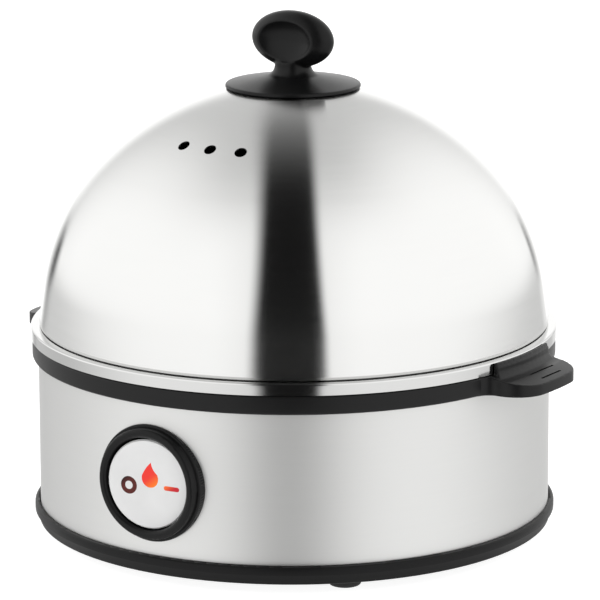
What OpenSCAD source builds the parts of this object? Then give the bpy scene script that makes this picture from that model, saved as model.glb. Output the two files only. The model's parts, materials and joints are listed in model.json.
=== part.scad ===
// Egg cooker: domed steam lid, egg tray, heated boiling bowl, housing and round rocker switch.
// Millimetres. +Z is up, the front with the switch looks towards -Y, and the origin lies on the
// table under the middle of the housing.

/* [Housing] */
// Outer radius of the sheet-metal housing band
band_r = 85; // [84:0.5:88]
// Visible height of the band, from the base ring up to the collar
band_h = 49.75; // [49:0.25:56]
// Sheet thickness of the band
band_t = 0.6; // [0.4:0.1:0.8]
// Height of the base ring that shows below the band
base_h = 6.25; // [5.5:0.25:8]
// How far the base ring's lip stands out from the band
base_lip = 1.9; // [1.5:0.1:3]
// Thickness of the base pan's floor
pan_t = 2.4; // [1.8:0.2:3]
// Height of the spigot that locates the band on the base pan
spigot_h = 9; // [7:0.5:10]
// Length of a cooling slot in the base pan
slot_l = 26; // [14:1:30]
// Width of a cooling slot in the base pan
slot_w = 2.6; // [1.5:0.1:3.4]
// Cooling slots in each of the two rows
slot_n = 7; // [3:1:8]

/* [Feet and housing screws] */
// Free height of a foot under the base pan
foot_h = 3.6; // [3:0.2:6]
// Radius of a foot
foot_r = 5.6; // [5:0.2:7]
// Distance from the band in to the circle that the feet and the housing screws stand on
foot_inset = 11; // [10:0.5:12]
// Shank radius of a housing screw
screw_r = 1.45; // [1.2:0.05:1.6]
// Head radius of a housing screw
screw_head_r = 2.9; // [2.5:0.1:3.2]
// Length of a housing screw under its head
screw_l = 20; // [16:1:24]
// Radius of a screw post under the collar
post_r = 4; // [3.4:0.1:4.4]

/* [Collar and handles] */
// Height of the collar's outer ring
collar_h = 6.1; // [5:0.1:8]
// How far the collar stands out from the band
collar_over = 2; // [1.5:0.1:3]
// Distance from the band to the tip of a handle
handle_reach = 15.6; // [13:0.1:20]
// Half of a handle's width
handle_half_w = 18.6; // [15:0.1:20]
// Thickness of a handle at the foot of its cove
handle_t = 4.7; // [3.5:0.1:5.5]
// Thickness of a handle at its tip
handle_tip_t = 3.5; // [2.5:0.1:4.5]
// Corner radius at a handle's tip
handle_corner_r = 10.5; // [5:0.5:12]
// Fillet radius where a handle leaves the collar
handle_root_r = 5; // [3:0.5:8]
// Height of the guard wall above the collar
guard_h = 4; // [3:0.1:4.6]
// Thickness of the guard wall
guard_t = 1.6; // [1.2:0.1:2.2]
// Half of the arc that a guard wall covers, in degrees
guard_half_arc = 10.8; // [8:0.1:12]
// Width of a grip groove on top of a handle
groove_w = 1.1; // [0.6:0.1:1.6]

/* [Boiling bowl] */
// How far the bowl's rolled rim stands out from the band
rim_over = 2.4; // [2.2:0.1:3]
// Height of the bowl's rolled rim above the collar
rim_h = 4.15; // [3.8:0.05:5]
// Sheet thickness of the bowl
bowl_t = 0.7; // [0.5:0.1:0.9]
// Depth of the bowl below the egg tray's ledge
bowl_depth = 14.5; // [14:0.5:18]
// Width of the ledge that the egg tray rests on
tray_ledge_w = 3.6; // [3:0.1:4.5]

/* [Lid] */
// Sheet thickness of the lid
lid_t = 0.7; // [0.5:0.1:0.9]
// Radius of the lid where its hem turns under, as a distance inside the band
hem_inset = 2; // [1.6:0.1:2.6]
// How far the lid swells outwards above its hem
lid_swell = 1.31; // [1:0.01:1.8]
// Lean of the lid's straight skirt from upright, in degrees
skirt_lean = 7.85; // [6:0.05:9]
// Slant length of the lid's straight skirt
skirt_l = 10.8; // [8:0.2:13]
// Radius of the lid's shoulder arc
shoulder_r = 73; // [70:0.5:76]
// Height angle at which the shoulder runs into the crown, in degrees
shoulder_end = 42.6; // [38:0.2:48]
// Radius of a steam vent
vent_r = 1.95; // [1.2:0.05:2.4]
// Angle of the steam vents down from the top of the crown, in degrees
vent_polar = 35.4; // [30:0.2:39]
// Angle between neighbouring steam vents, in degrees
vent_pitch = 12.4; // [10:0.2:16]
// Number of steam vents
vent_n = 3; // [1:1:5]
// Turn of the lid on its bowl, in degrees
lid_turn = 0; // [-6:0.5:6]

/* [Lid knob] */
// Radius of the knob's foot disc
disc_r = 22.3; // [20:0.1:25]
// Thickness of the foot disc at its edge
disc_edge = 0.9; // [0.7:0.1:2.6]
// Radius of the knob's neck
neck_r = 6.1; // [5.5:0.1:7]
// Width of the knob's oval grip
grip_w = 30; // [26:0.5:34]
// Thickness of the knob's oval grip
grip_d = 14.4; // [13:0.2:17]
// Height of the knob's oval grip
grip_h = 18.8; // [17:0.2:22]
// Height of the grip's middle above the lid's crown
grip_rise = 13.2; // [12.6:0.2:15]
// Width of the finger scoop in each face of the grip
scoop_w = 20; // [15:0.5:22]
// Height of the finger scoop
scoop_h = 13.6; // [10:0.2:15]
// Depth of the finger scoop below its rim
scoop_depth = 2.4; // [1.2:0.1:2.8]
// Thickness of the gasket between knob and lid
gasket_t = 0.6; // [0.4:0.1:1]

/* [Egg tray] */
// Radius of an egg hole
egg_r = 19; // [17:0.5:19.5]
// Radius of the circle that the outer egg holes stand on
egg_circle_r = 48; // [46:0.5:49]
// Number of egg holes round the middle one
egg_n = 6; // [4:1:6]
// Thickness of the tray
tray_t = 1.6; // [1.2:0.1:2]
// Height of the stiffening bead round each egg hole
bead_h = 1.1; // [0.6:0.1:1.6]
// Width of the bead
bead_w = 1.3; // [0.8:0.1:1.8]
// Width of a lifting tab
tab_w = 20; // [14:1:24]
// Height of a lifting tab above the tray
tab_h = 13; // [9:0.5:15]
// Thickness of a lifting tab
tab_t = 2.2; // [1.6:0.1:2.8]

/* [Switch] */
// Distance from the collar's lower edge down to the switch's middle
switch_drop = 25.9; // [25.2:0.1:27]
// Outer radius of the bezel's flange
bezel_r = 19.2; // [18.8:0.1:20]
// How far the bezel stands out from the band
bezel_out = 3.6; // [3.2:0.1:4.6]
// Radius of the opening in the bezel
bezel_open_r = 15.15; // [14.6:0.1:15.4]
// Wall of the bezel's barrel
barrel_t = 2; // [1.6:0.1:2.2]
// Clearance between the button and the bezel's opening
button_gap = 0.45; // [0.35:0.05:0.6]
// Thickness of the round button
button_t = 2; // [1.6:0.1:2.4]
// Distance from the button's face back to its pivot
pivot_back = 3.8; // [3.4:0.1:4.2]
// Tilt of the button to either side of its middle position, in degrees
button_tilt = 5; // [3:0.5:5]
// Radius of the button's pivot pins
pivot_r = 1.2; // [1:0.05:1.4]
// Running clearance of the pivot pins, on the radius
pivot_fit = 0.05; // [0.02:0.01:0.1]
// Depth of the coloured inlays in the button
mark_depth = 0.7; // [0.4:0.1:1]

/* [Heater] */
// Distance from the collar's inner flange in to the edge of the heat spreader plate
spreader_margin = 10.5; // [8.5:0.5:14.5]
// Thickness of the heat spreader plate
spreader_t = 3; // [2.4:0.1:3.6]
// Distance from the spreader's edge in to the middle of the heating element's tube
element_inset = 14; // [10:0.5:20]
// Radius of the heating element's tube
element_r = 3.2; // [2.8:0.1:3.6]
// Gap between the element's two ends, in degrees
element_gap = 60; // [50:5:80]
// Radius of the bends from the element's ring down to its legs
bend_r = 5; // [4.5:0.5:6]
// Straight length of the element's legs below their bends
leg_l = 2.5; // [2:0.5:3]
// Sheet thickness of the heat shield
shield_t = 0.6; // [0.4:0.1:0.8]
// Depth of the heat shield
shield_depth = 16; // [15:0.5:17]
// Radius of the thermostat
thermostat_r = 8; // [7:0.5:9]
// Height of the thermostat
thermostat_h = 6.5; // [5.5:0.5:7]

/* [Hidden] */

$fn = 96;
small_fn = 40;             // holes, pins and screws
crown_fn = 240;            // the knob's hollow underside
lap = 0.5;                 // how deep one form of a moulding runs into the next
sheet_gap = 0.3;           // clearance between the band and what holds it

black = [0.10, 0.10, 0.105];
rubber = [0.06, 0.06, 0.06];
steel = [0.80, 0.80, 0.79];
alloy = [0.70, 0.71, 0.73];
brass = [0.78, 0.62, 0.28];
ivory = [0.90, 0.88, 0.82];
red = [0.90, 0.22, 0.12];

// Heights, from the table upwards
z_pan = foot_h;
z_band = z_pan + base_h;
z_collar = z_band + band_h;
z_rim = z_collar + collar_h;
rim_gap = 0.3;
z_rim_top = z_rim + rim_h;
seat_drop = 0.95;
z_lid = z_rim_top - seat_drop;
tray_step = 2.8;
z_tray = z_lid - tray_step;
z_bowl_in = z_tray - bowl_depth;
z_bowl = z_bowl_in - bowl_t;
seal_t = 1;
z_flange = z_bowl - seal_t;
flange_t = 2.5;
z_flange_low = z_flange - flange_t;
retaining_t = 1.2;
z_retaining = z_flange_low - retaining_t;
z_shield = z_retaining - shield_t;
z_switch = z_collar - switch_drop;

// Radii of the housing
collar_r = band_r + collar_over;
rim_r = band_r + rim_over;
hem_r = band_r - hem_inset;
band_in = band_r - band_t;
skirt_out = band_in - sheet_gap;
seat_gap = 0.4;
seat_r = hem_r + seat_gap;
seat_w = 2.4;
seat_slope = 0.6;
rim_roll = rim_r - seat_r - seat_slope - 0.7;
tray_wall_r = seat_r - seat_w;
bowl_wall_r = tray_wall_r - tray_ledge_w;
bowl_draft = 1.2;
bowl_corner_r = 5;
bowl_base_r = bowl_wall_r - bowl_draft - bowl_corner_r;
bowl_clear = 0.5;
collar_in = tray_wall_r + bowl_t + bowl_clear;
seal_w = 3.5;
flange_in = bowl_base_r - seal_w - 1.2;
foot_circle_r = band_r - foot_inset;
spreader_r = flange_in - spreader_margin;
element_ring_r = spreader_r - element_inset;

// The lid's profile, from its hem up to the crown
hem_h = 4;
skirt_low = [hem_r + lid_swell, z_lid + hem_h];
skirt_top = skirt_low + skirt_l * [-sin(skirt_lean), cos(skirt_lean)];
shoulder_c = skirt_top - shoulder_r * [cos(skirt_lean), sin(skirt_lean)];
crown_start = shoulder_c + shoulder_r * [cos(shoulder_end), sin(shoulder_end)];
crown_r = crown_start[0] / cos(shoulder_end);
z_crown_c = crown_start[1] - crown_r * sin(shoulder_end);
z_crown = z_crown_c + crown_r;
knob_hole_r = 2.3;

// The round switch, measured outwards from the housing's axis
bezel_front = band_r + bezel_out;
barrel_r = bezel_open_r + barrel_t;
barrel_back = band_r - 9;
back_t = 2;
button_sink = 1.4;
button_face = bezel_front - button_sink;
button_r = bezel_open_r - button_gap;
pivot_at = button_face - pivot_back;
nut_r = barrel_r + 3.2;
nut_t = 2.8;
nut_front = sqrt(band_in * band_in - nut_r * nut_r) - 0.05;
module_w = 20;
module_h = 12.4;
module_l = 11;
window_gap = 0.3;

// --- Helpers ---------------------------------------------------------------------------------

function unit(v) = v / norm(v);
function flipped(list) = [for (i = [len(list) - 1:-1:0]) list[i]];

// Points of an arc round c, from angle a0 to angle a1
function arc(c, r, a0, a1, n) = [for (i = [0:n]) let (a = a0 + (a1 - a0) * i / n) c + r * [cos(a), sin(a)]];

// The corner p of the path a-p-b, rounded with radius r
function corner(a, p, b, r, n) =
    r == 0 ? [p] :
    let (
        u = unit(a - p),
        v = unit(b - p),
        half = acos(max(-1, min(1, u * v))) / 2,
        c = p + unit(u + v) * r / sin(half),
        s = p + u * r / tan(half) - c,
        e = p + v * r / tan(half) - c,
        start = atan2(s[1], s[0]),
        sweep = ((atan2(e[1], e[0]) - start + 540) % 360) - 180
    ) arc(c, r, start, start + sweep, n);

// A path of [x, y, radius] corners as points, its ends left sharp
function rounded(path, n = 6) = [
    for (i = [0:len(path) - 1])
        let (p = [path[i][0], path[i][1]])
        each (i == 0 || i == len(path) - 1 ? [p] :
            corner([path[i - 1][0], path[i - 1][1]], p, [path[i + 1][0], path[i + 1][1]], path[i][2], n))
];

// The path moved sideways by t, to the left of its direction
function left_of(p, q) = let (d = unit(q - p)) [-d[1], d[0]];
function beside(path, t) = [
    for (i = [0:len(path) - 1])
        let (
            before = i > 0 ? left_of(path[i - 1], path[i]) : left_of(path[0], path[1]),
            after = i < len(path) - 1 ? left_of(path[i], path[i + 1]) : before
        ) path[i] + t * (before + after) / (1 + before * after)
];

// A sheet of thickness t spun round Z, its visible side on the path
module spun_sheet(path, t) {
    rotate_extrude() polygon(concat(path, flipped(beside(path, t))));
}

module spun(path) {
    rotate_extrude() polygon(path);
}

module tube(r_in, r_out, h, n = $fn) {
    difference() {
        cylinder(r = r_out, h = h, $fn = n);
        translate([0, 0, -1]) cylinder(r = r_in, h = h + 2, $fn = n);
    }
}

// Copies at each quarter turn, half-way between the axes
module at_feet() {
    for (a = [45:90:315]) rotate([0, 0, a]) translate([foot_circle_r, 0, 0]) children();
}

// Puts a form drawn along +Z on the switch's axis, looking out of the front
module at_switch() {
    translate([0, 0, z_switch]) rotate([90, 0, 0]) children();
}

// Turns a form of the button, drawn in its middle position, to where it rests
module rocked() {
    at_switch()
        translate([0, 0, pivot_at]) rotate([0, button_tilt, 0]) translate([0, 0, -pivot_at]) children();
}

// --- Lid -------------------------------------------------------------------------------------

hem_curl = 1.4;
function lid_path() = concat(
    [for (p = rounded([
        [hem_r - hem_curl, z_lid, 0],
        [hem_r, z_lid, 0.9],
        [skirt_low[0], skirt_low[1], 3],
        [skirt_top[0], skirt_top[1], 0]
    ])) p],
    [for (i = [1:14]) arc(shoulder_c, shoulder_r, skirt_lean, shoulder_end, 14)[i]],
    let (
        hole_angle = acos(knob_hole_r / crown_r),
        crown = arc([0, z_crown_c], crown_r, shoulder_end, hole_angle, 20)
    ) [for (i = [1:20]) crown[i]]
);

module lid_dome() {
    color(steel) rotate([0, 0, lid_turn]) difference() {
        spun_sheet(lid_path(), lid_t);
        for (i = [0:vent_n - 1])
            rotate([0, 0, (i - (vent_n - 1) / 2) * vent_pitch])
                translate([0, 0, z_crown_c]) rotate([vent_polar, 0, 0])
                    translate([0, 0, crown_r - 5]) cylinder(r = vent_r, h = 10, $fn = small_fn);
    }
}

z_disc = z_crown_c + sqrt(pow(crown_r + gasket_t, 2) - disc_r * disc_r);
z_disc_top = z_crown + gasket_t + 1;
z_grip = z_crown + grip_rise;
insert_r = 3;
insert_h = 8;

// The grip: a flattened oval with a scoop for the thumb in front and one for the finger behind
module grip() {
    round_fn = 48;
    rim_at = grip_d / 2 * sqrt(1 - pow(scoop_w / grip_w, 2)) - 0.25;
    bowl_half_d = scoop_depth * 2.5;
    spread = sqrt(1 - pow(1 - scoop_depth / bowl_half_d, 2));
    difference() {
        scale([grip_w / 2, grip_d / 2, grip_h / 2]) sphere(1, $fn = round_fn);
        for (s = [-1, 1])
            translate([0, s * (rim_at - scoop_depth + bowl_half_d), 0])
                scale([scoop_w / 2 / spread, bowl_half_d, scoop_h / 2 / spread]) sphere(1, $fn = round_fn);
    }
}

module lid_knob() {
    z_neck = z_disc_top + 4.2;
    color(black) rotate([0, 0, lid_turn]) difference() {
        union() {
            spun(rounded([
                [0, z_disc - 1, 0],
                [disc_r, z_disc - 1, 0],
                [disc_r, z_disc + disc_edge, 0.4],
                [neck_r + 3.5, z_disc_top - 0.2, 2.5],
                [neck_r, z_neck - 1.4, 1.6],
                [neck_r, z_grip - grip_h / 2 + 2.6, 0],
                [0, z_grip - grip_h / 2 + 2.6, 0]
            ]));
            translate([0, 0, z_grip]) grip();
        }
        translate([0, 0, z_crown_c]) sphere(crown_r + gasket_t, $fn = crown_fn);
        translate([0, 0, z_crown]) cylinder(r = insert_r, h = gasket_t + insert_h, $fn = small_fn);
        translate([0, 0, z_crown]) cylinder(r = screw_r + 0.3, h = gasket_t + insert_h + 2, $fn = small_fn);
    }
}

gasket_r = disc_r - 2.3;
module knob_gasket() {
    color(rubber) difference() {
        intersection() {
            translate([0, 0, z_crown_c]) sphere(crown_r + gasket_t);
            translate([0, 0, z_disc - 2]) cylinder(r = gasket_r, h = 10);
        }
        translate([0, 0, z_crown_c]) sphere(crown_r);
        translate([0, 0, z_disc]) cylinder(r = insert_r + 0.2, h = 10, $fn = small_fn);
    }
}

// Threaded insert that the knob is moulded round
module knob_insert() {
    color(brass) translate([0, 0, z_crown + gasket_t]) tube(screw_r, insert_r, insert_h, small_fn);
}

washer_r = 6;
washer_t = 1;
z_washer = z_crown_c + sqrt(pow(crown_r - lid_t, 2) - washer_r * washer_r) - washer_t;
module knob_washer() {
    color(steel) translate([0, 0, z_washer]) tube(screw_r + 0.2, washer_r, washer_t, small_fn);
}

module knob_screw() {
    head_h = 2.2;
    color(steel) difference() {
        union() {
            translate([0, 0, z_washer - head_h]) spun(rounded([
                [0, 0, 0], [screw_head_r, 0, 1], [screw_head_r, head_h, 0], [0, head_h, 0]
            ]));
            translate([0, 0, z_washer - 0.1])
                cylinder(r = screw_r, h = z_crown + gasket_t + insert_h - z_washer - 1, $fn = small_fn);
        }
        cross_recess(z_washer - head_h, 1.3);
    }
}

// Cross recess cut upwards into a screw head whose underside is at z
module cross_recess(z, depth) {
    for (a = [0, 90])
        rotate([0, 0, a]) translate([-1.7, -0.4, z - 1]) cube([3.4, 0.8, depth + 1]);
}

// --- Egg tray --------------------------------------------------------------------------------

tray_r = tray_wall_r - 1.1;
tab_at = tray_r - 5.5;
module at_eggs() {
    children();
    for (i = [0:egg_n - 1]) rotate([0, 0, 360 / egg_n * i]) translate([egg_circle_r, 0, 0]) children();
}

module lifting_tab() {
    translate([-tab_w / 2, tab_at - tab_t / 2, z_tray + tray_t - lap]) {
        cube([tab_w, tab_t, tab_h - tab_w / 4 + lap]);
        intersection() {
            translate([tab_w / 2, 0, tab_h - tab_w / 2 + lap]) rotate([-90, 0, 0])
                cylinder(r = tab_w / 2, h = tab_t);
            cube([tab_w, tab_t, tab_h + lap]);
        }
        for (i = [0:2])
            translate([tab_w * 0.2, tab_t - 0.2, tab_h * 0.45 + i * 2.2]) cube([tab_w * 0.6, 0.7, 0.9]);
    }
}

module egg_tray() {
    edge_h = 2.2;
    color(black) difference() {
        union() {
            translate([0, 0, z_tray]) cylinder(r = tray_r, h = tray_t);
            translate([0, 0, z_tray]) tube(tray_r - 1.4, tray_r, edge_h);
            at_eggs() translate([0, 0, z_tray]) cylinder(r = egg_r + bead_w, h = tray_t + bead_h);
            for (a = [0, 180]) rotate([0, 0, a]) lifting_tab();
        }
        at_eggs() translate([0, 0, z_tray - 1]) cylinder(r = egg_r, h = tray_t + bead_h + 2);
        // Small steam holes between the eggs
        for (i = [0:egg_n - 1])
            rotate([0, 0, 360 / egg_n * (i + 0.5)]) {
                translate([tray_r - 13.5, 0, z_tray - 1]) cylinder(r = 1.6, h = 5, $fn = small_fn);
                translate([egg_r + 8.4, 0, z_tray - 1]) cylinder(r = 1.4, h = 5, $fn = small_fn);
            }
    }
}

// --- Boiling bowl and heater -----------------------------------------------------------------

module boiling_bowl() {
    color(steel) spun_sheet(rounded([
        [rim_r, z_rim + rim_gap, 0],
        [rim_r, z_rim_top, rim_roll],
        [seat_r + seat_slope, z_rim_top, 1],
        [seat_r, z_lid, 0.9],
        [tray_wall_r, z_lid, 1],
        [tray_wall_r, z_tray, 1],
        [bowl_wall_r, z_tray, 1.2],
        [bowl_wall_r - bowl_draft, z_bowl_in, bowl_corner_r],
        [0, z_bowl_in, 0]
    ]), bowl_t);
}

module bowl_seal() {
    color(rubber) translate([0, 0, z_flange]) tube(bowl_base_r - seal_w, bowl_base_r, seal_t);
}

z_element = z_bowl - spreader_t - element_r * 0.35;
module heat_spreader() {
    color(alloy) difference() {
        union() {
            translate([0, 0, z_bowl - spreader_t]) cylinder(r = spreader_r, h = spreader_t);
            for (s = [-1, 1])
                translate([s * bracket_half, 0, z_strap])
                    cylinder(r = 3.2, h = z_bowl - spreader_t - z_strap + lap, $fn = small_fn);
        }
        translate([0, 0, z_element]) rotate_extrude()
            translate([element_ring_r, 0]) circle(r = element_r + 0.05, $fn = small_fn);
        for (s = [-1, 1])
            translate([s * bracket_half, 0, z_strap - 1])
                cylinder(r = bracket_screw_r + 0.02, h = z_bowl - 1.5 - z_strap + 1, $fn = small_fn);
    }
}

pin_r = 1.1;
pin_l = 6;
// Copies at the foot of each bend, where the element's legs point straight down
z_leg = z_element - bend_r;
module at_element_ends() {
    for (s = [-1, 1])
        rotate([0, 0, 90 + s * element_gap / 2]) translate([element_ring_r, -s * bend_r, z_leg]) children();
}

module heating_element() {
    color([0.35, 0.34, 0.33]) {
        rotate([0, 0, 90 + element_gap / 2]) translate([0, 0, z_element])
            rotate_extrude(angle = 360 - element_gap)
                translate([element_ring_r, 0]) circle(r = element_r, $fn = small_fn);
        for (s = [-1, 1])
            rotate([0, 0, 90 + s * element_gap / 2]) translate([element_ring_r, 0, z_leg]) scale([1, -s, 1])
                rotate([90, 0, 90]) rotate_extrude(angle = 90)
                    translate([bend_r, 0]) circle(r = element_r, $fn = small_fn);
        at_element_ends() {
            translate([0, 0, -leg_l]) cylinder(r = element_r, h = leg_l, $fn = small_fn);
            translate([0, 0, -leg_l - pin_l]) cylinder(r = pin_r, h = pin_l + 1, $fn = small_fn);
        }
    }
}

bush_h = 3;
module element_bushes() {
    color(ivory) at_element_ends() translate([0, 0, -leg_l - bush_h])
        tube(pin_r + 0.02, element_r - 0.3, bush_h, small_fn);
}

stud_circle_r = (spreader_r + flange_in) / 2 + 1;
stud_r = 2;
stud_nut_h = 3.2;
module at_studs() {
    for (a = [90, 210, 330]) rotate([0, 0, a]) translate([stud_circle_r, 0, 0]) children();
}

module bowl_studs() {
    color(steel) at_studs() translate([0, 0, z_shield - stud_nut_h - 1])
        cylinder(r = stud_r, h = z_bowl - z_shield + stud_nut_h + 1, $fn = small_fn);
}

retaining_out = foot_circle_r - post_r - 0.6;
module retaining_ring() {
    color(steel) translate([0, 0, z_retaining]) difference() {
        tube(spreader_r + 2, retaining_out, retaining_t);
        at_studs() translate([0, 0, -1]) cylinder(r = stud_r + 0.15, h = 4, $fn = small_fn);
    }
}

shield_wall_r = spreader_r + 0.5;
lead_at = [14, 30];
lead_hole_r = 3.4;
module heat_shield() {
    color(alloy) difference() {
        spun_sheet(rounded([
            [0, z_retaining - shield_depth, 0],
            [shield_wall_r - 1, z_retaining - shield_depth, 4],
            [shield_wall_r, z_shield, 1.2],
            [retaining_out - 1, z_shield, 0]
        ]), shield_t);
        at_studs() translate([0, 0, z_shield - 1]) cylinder(r = stud_r + 0.15, h = 4, $fn = small_fn);
        // Way out for the leads
        for (s = [-1, 1])
            translate([s * lead_at[0], lead_at[1], z_retaining - shield_depth - 1])
                cylinder(r = lead_hole_r, h = 4, $fn = small_fn);
    }
}

module stud_nuts() {
    color(steel) at_studs() translate([0, 0, z_shield - stud_nut_h]) difference() {
        cylinder(r = 4, h = stud_nut_h, $fn = 6);
        translate([0, 0, -1]) cylinder(r = stud_r + 0.02, h = stud_nut_h + 2, $fn = small_fn);
    }
}

// The thermostat's metal cup, held up against the spreader by a strap round its narrower body
bracket_half = thermostat_r + 8;
bracket_screw_r = 1.4;
cup_h = 2.2;
strap_t = 0.8;
body_r = thermostat_r - 1.5;
z_strap = z_bowl - spreader_t - cup_h;
z_thermostat = z_bowl - spreader_t - thermostat_h;
module thermostat() {
    color(black) {
        translate([0, 0, z_strap]) cylinder(r = thermostat_r, h = cup_h);
        translate([0, 0, z_thermostat]) cylinder(r = body_r, h = thermostat_h - cup_h + lap);
        for (s = [-1, 1])
            translate([-3.15, s * 4 - 0.4, z_thermostat - 4.6]) cube([6.3, 0.8, 4.6 + lap]);
    }
}

// Strap that presses the thermostat against the spreader
module thermostat_bracket() {
    color(steel) difference() {
        translate([0, 0, z_strap - strap_t]) union() {
            translate([-bracket_half - 4, -4, 0]) cube([bracket_half * 2 + 8, 8, strap_t]);
            cylinder(r = thermostat_r + 2.2, h = strap_t);
        }
        translate([0, 0, z_strap - strap_t - 1]) cylinder(r = body_r + 0.1, h = 3);
        for (s = [-1, 1])
            translate([s * bracket_half, 0, z_strap - strap_t - 1])
                cylinder(r = bracket_screw_r + 0.15, h = 3, $fn = small_fn);
    }
}

module bracket_screws() {
    z_head = z_strap - strap_t;
    color(steel) for (s = [-1, 1])
        translate([s * bracket_half, 0, 0]) difference() {
            union() {
                translate([0, 0, z_head - 1.8]) cylinder(r = 2.6, h = 1.8, $fn = small_fn);
                translate([0, 0, z_head - lap])
                    cylinder(r = bracket_screw_r, h = z_bowl - 1.6 - z_head + lap, $fn = small_fn);
            }
            cross_recess(z_head - 1.8, 1);
        }
}

fuse_r = 2.6;
fuse_at = [0, -27];
z_fuse = z_bowl - spreader_t - fuse_r - 0.5;
module thermal_fuse() {
    color(ivory) translate([fuse_at[0], fuse_at[1], z_fuse]) rotate([0, 90, 0]) {
        translate([0, 0, -7]) cylinder(r = fuse_r, h = 14, $fn = small_fn);
        for (s = [-1, 1]) translate([0, 0, s * 9 - 2.5]) cylinder(r = 0.6, h = 5, $fn = small_fn);
    }
}

module fuse_clip() {
    color(steel) translate([fuse_at[0], fuse_at[1], z_fuse]) {
        rotate([0, 90, 0]) translate([0, 0, -2]) tube(fuse_r, fuse_r + 0.5, 4, small_fn);
        for (s = [-1, 1])
            translate([-2, s * 5 - 2.3, fuse_r]) cube([4, 4.6, 0.5]);
    }
}

// --- Collar with handles ---------------------------------------------------------------------

handle_tip_r = band_r + handle_reach;
corner_y = handle_half_w - handle_corner_r;
corner_c = [sqrt(pow(handle_tip_r - handle_corner_r, 2) - pow(corner_y, 2)), corner_y];
root_sink = 0.4;           // how deep a root fillet runs into the collar's ring
root_ring = collar_r - root_sink;
root_y = handle_half_w + handle_root_r;
root_c = [sqrt(pow(root_ring + handle_root_r, 2) - pow(root_y, 2)), root_y];
guard_in = rim_r + 0.3;

// Plan of one handle: a tip round the housing's axis, round corners and hollow root fillets
module handle_plan() {
    root_in = collar_r - 3;
    difference() {
        union() {
            intersection() {
                circle(handle_tip_r);
                polygon([[0, 0], 2 * [corner_c[0], -corner_c[1]], 2 * corner_c]);
            }
            translate([root_in, -handle_half_w]) square([corner_c[0] - root_in, 2 * handle_half_w]);
            for (s = [-1, 1]) {
                translate([corner_c[0], s * corner_c[1]]) circle(handle_corner_r);
                scale([1, s]) difference() {
                    polygon([
                        [root_c[0], handle_half_w - lap],
                        root_c,
                        root_c * (root_ring - lap) / norm(root_c),
                        [root_in, handle_half_w - lap]
                    ]);
                    translate(root_c) circle(handle_root_r);
                }
            }
        }
        circle(collar_r - 1.5);
    }
}

// Height of a handle's top where it falls from the foot of the cove to the tip
cove_head = guard_in + guard_t * 0.6;
cove_run = 5;
cove_foot = cove_head + cove_run;
handle_fall = (handle_t - handle_tip_t) / (handle_tip_r - cove_foot);
function handle_top(r) = z_collar + handle_t - handle_fall * max(0, r - cove_foot);

// Body of a handle: its plan under a falling top and a hollow ramp up to the foot of the guard wall
module handle_body() {
    inner = collar_r - 1.5;
    outer = handle_tip_r + 1;
    rise = collar_h - handle_t;
    r = (rise * rise + cove_run * cove_run) / (2 * rise);
    half = 20;
    intersection() {
        rotate([0, 0, -half]) rotate_extrude(angle = 2 * half) polygon(concat(
            [[inner, z_collar - 1], [outer, z_collar - 1], [outer, handle_top(outer)]],
            arc([cove_foot, z_collar + handle_t + r], r, -90, -90 - asin(cove_run / r), 8),
            [[inner, z_collar + handle_t + rise]]
        ));
        translate([0, 0, z_collar]) linear_extrude(collar_h + 1) handle_plan();
    }
}

// Wall that keeps the fingers off the hot rim: part of a ring with round ends and bevelled top edges
module guard_plan() {
    far = 2 * guard_in;
    intersection() {
        difference() {
            circle(guard_in + guard_t);
            circle(guard_in);
        }
        polygon([[0, 0], far * [cos(guard_half_arc), -sin(guard_half_arc)],
            far * [cos(guard_half_arc), sin(guard_half_arc)]]);
    }
    for (s = [-1, 1]) rotate(s * guard_half_arc) translate([guard_in + guard_t / 2, 0]) circle(guard_t / 2);
}

module guard() {
    z = z_collar + handle_t - lap;
    top = z_rim + guard_h;
    bevel = guard_t * 0.28;
    difference() {
        translate([0, 0, z]) linear_extrude(top - z) guard_plan();
        spun([[guard_in - 1, top - bevel - 1], [guard_in + bevel + 1, top + 1], [guard_in - 1, top + 1]]);
        spun([[guard_in + guard_t + 1, top - bevel - 1], [guard_in + guard_t + 1, top + 1],
            [guard_in + guard_t - bevel - 1, top + 1]]);
    }
}

// Two shallow grooves across a handle's top, the outer one shorter
module grip_grooves() {
    depth = 0.5;
    for (g = [[band_r + 7, 7.8], [band_r + 12.3, 6.4]])
        translate([g[0], 0, handle_top(g[0]) - depth]) {
            translate([-groove_w / 2, -g[1], 0]) cube([groove_w, 2 * g[1], 2]);
            for (s = [-1, 1]) translate([0, s * g[1], 0]) cylinder(r = groove_w / 2, h = 2, $fn = small_fn);
        }
}

module handle() {
    difference() {
        handle_body();
        grip_grooves();
    }
    guard();
}

// One moulding: outer ring, skirt inside the band, inner flange, screw posts and handles
module collar() {
    z_post = z_pan + pan_t + boss_h;
    color(black) difference() {
        union() {
            spun(rounded([
                [flange_in, z_flange_low, 0],
                [skirt_out, z_flange_low, 0.6],
                [skirt_out, z_collar, 0],
                [collar_r, z_collar, 0.7],
                [collar_r, z_rim, 0.7],
                [collar_in, z_rim, 0],
                [collar_in, z_flange, 1],
                [flange_in, z_flange, 0],
                [flange_in, z_flange_low, 0]
            ]));
            for (a = [0, 180]) rotate([0, 0, a]) handle();
            at_feet() translate([0, 0, z_post]) cylinder(r = post_r, h = z_flange_low - z_post + lap);
        }
        at_feet() translate([0, 0, z_post - 1]) cylinder(r = screw_r + 0.02, h = screw_l, $fn = small_fn);
        // Room for the switch
        at_switch() {
            translate([0, 0, nut_front - nut_t - 1]) cylinder(r = nut_r + 0.6, h = 12);
            translate([0, 0, barrel_back - 1]) cylinder(r = barrel_r + 0.6, h = 12);
        }
    }
}

// --- Housing ---------------------------------------------------------------------------------

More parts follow.
